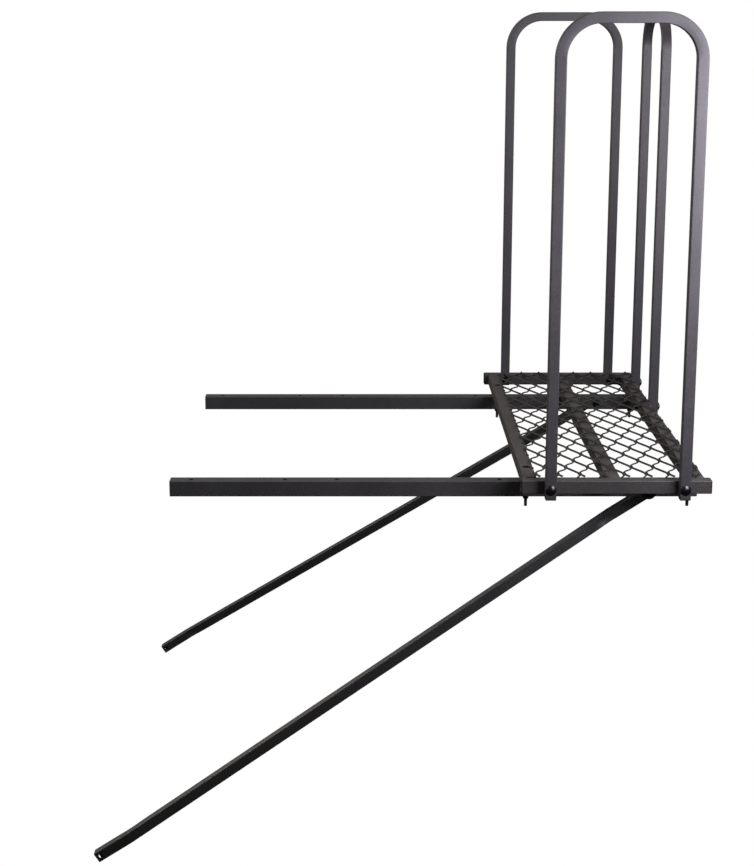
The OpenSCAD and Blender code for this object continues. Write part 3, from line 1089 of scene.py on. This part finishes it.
def build_mesh_welds():
    """Dabs of weld that hold the mesh down on the two side tubes, one at each row of bonds."""
    low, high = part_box("deck_mesh")
    dab = mesh_dab(DAB_RADIUS, DAB_HEIGHT)
    dabs = []
    row = cad_deck_y0 + BOND_ROW - LONG_WAY / 2
    while row < high.y - 8 * MM:
        step = len(dabs)
        for x in (low.x + 3 * MM, high.x - 6 * MM):
            place = Vector((x, row + 3 * MM, FRAME_TUBE - 0.3 * MM))
            dabs.append(place_copy(dab, "mesh_weld", place, Z, 0.9 * step))
        row += LONG_WAY / 2
    join(dabs[0], dabs[1:])
    dabs[0].name = "mesh_weld_dabs"
    finish_piece(dabs[0], PLATFORM, "mesh_coat", MESH_COAT_AND_SHADE)
    discard(dab)


# ---------- studio ----------

CAMERA_PLACE = (0.0528, -4.3261, 1.0995)
CAMERA_DOWN = math.radians(12.32)
LENS_MM = 68.96

# how bright the room is below the horizon and overhead
ROOM_BELOW = 0.03
ROOM_ABOVE = 0.14


def build_camera():
    data = bpy.data.cameras.new("camera")
    data.lens = LENS_MM
    data.sensor_width = 36
    data.shift_x = 0.0107
    data.shift_y = -0.0647
    data.clip_end = 60
    camera = bpy.data.objects.new("camera", data)
    camera.location = CAMERA_PLACE
    camera.rotation_euler = (math.pi / 2 - CAMERA_DOWN, 0, math.radians(-0.02))
    bpy.context.scene.collection.objects.link(camera)
    bpy.context.scene.camera = camera


def softbox(name, place, target, width, height, power, hex_code):
    data = bpy.data.lights.new(name, "AREA")
    data.shape = "RECTANGLE"
    data.size = width
    data.size_y = height
    data.energy = power
    data.color = colour(hex_code)[:3]
    light = bpy.data.objects.new(name, data)
    light.location = place
    light.visible_camera = False
    light.rotation_euler = (Vector(target) - Vector(place)).to_track_quat("-Z", "Y").to_euler()
    bpy.context.scene.collection.objects.link(light)


def build_world():
    """A white studio: the sweep behind is pure white. The room round it gives only a weak light, which
    fades out below the horizon."""
    world = bpy.data.worlds.new("studio")
    world.use_nodes = True
    tree = world.node_tree
    tree.nodes.clear()
    way = add_node(tree, "ShaderNodeTexCoord", {}, {}, {})
    split = add_node(tree, "ShaderNodeSeparateXYZ", {}, {}, {0: way.outputs["Generated"]})
    height = add_node(
        tree,
        "ShaderNodeMapRange",
        {},
        {"From Min": -0.15, "From Max": 0.45, "To Min": ROOM_BELOW, "To Max": ROOM_ABOVE},
        {"Value": split.outputs["Z"]},
    )
    room = add_node(
        tree,
        "ShaderNodeBackground",
        {},
        {"Color": colour("#FFFFFF")},
        {"Strength": height.outputs["Result"]},
    )
    sweep = add_node(tree, "ShaderNodeBackground", {}, {"Color": colour("#FFFFFF"), "Strength": 1.0}, {})
    path = add_node(tree, "ShaderNodeLightPath", {}, {}, {})
    both = add_node(
        tree,
        "ShaderNodeMixShader",
        {},
        {},
        {0: path.outputs["Is Camera Ray"], 1: room.outputs[0], 2: sweep.outputs[0]},
    )
    add_node(tree, "ShaderNodeOutputWorld", {}, {}, {"Surface": both.outputs[0]})
    bpy.context.scene.world = world
    bpy.context.scene.view_settings.view_transform = "Standard"


def build_floor():
    """Evenly lit white paper under the object, which throws no light back up at it."""
    bpy.ops.mesh.primitive_plane_add(size=9, location=(0, 0, cad_box[0].z - 20 * MM))
    floor = bpy.context.object
    floor.name = "floor"
    settle(floor)
    floor.visible_diffuse = False
    floor.visible_glossy = False
    paper = new_material("white_paper_floor")
    glow = add_node(
        paper.node_tree, "ShaderNodeEmission", {}, {"Color": colour("#FFFFFF"), "Strength": 1.0}, {}
    )
    add_node(paper.node_tree, "ShaderNodeOutputMaterial", {}, {}, {"Surface": glow.outputs[0]})
    floor.data.materials.append(paper)


def build_lights():
    softbox("key_softbox", (1.25, -1.35, 0.9), (0.6, 0, 0.4), 0.6, 0.9, 29, "#F8F3FF")
    softbox("top_softbox", (0.2, 0.9, 3.6), (0.2, 0.4, 0), 2.6, 2.6, 30, "#FFE8D4")
    softbox("side_softbox", (-2.3, -1.0, 1.5), (0.3, 0, 0.4), 1.0, 1.0, 24, "#FFFFFF")
    softbox("rear_left_softbox", (-2.8, 2.0, 1.8), (0, 0, 0.2), 1.6, 1.4, 70, "#FFF4EA")
    softbox("rear_right_softbox", (3.2, 2.0, 1.9), (0.4, 0, 0.4), 1.4, 1.4, 50, "#FFFFFF")


build_tubes()
build_mesh()
build_hoops()
build_braces()
build_hoop_fasteners()
build_rail_fasteners()
build_pivots()
build_plugs()
build_frame_welds()
build_mesh_welds()
build_camera()
build_world()
build_floor()
build_lights()
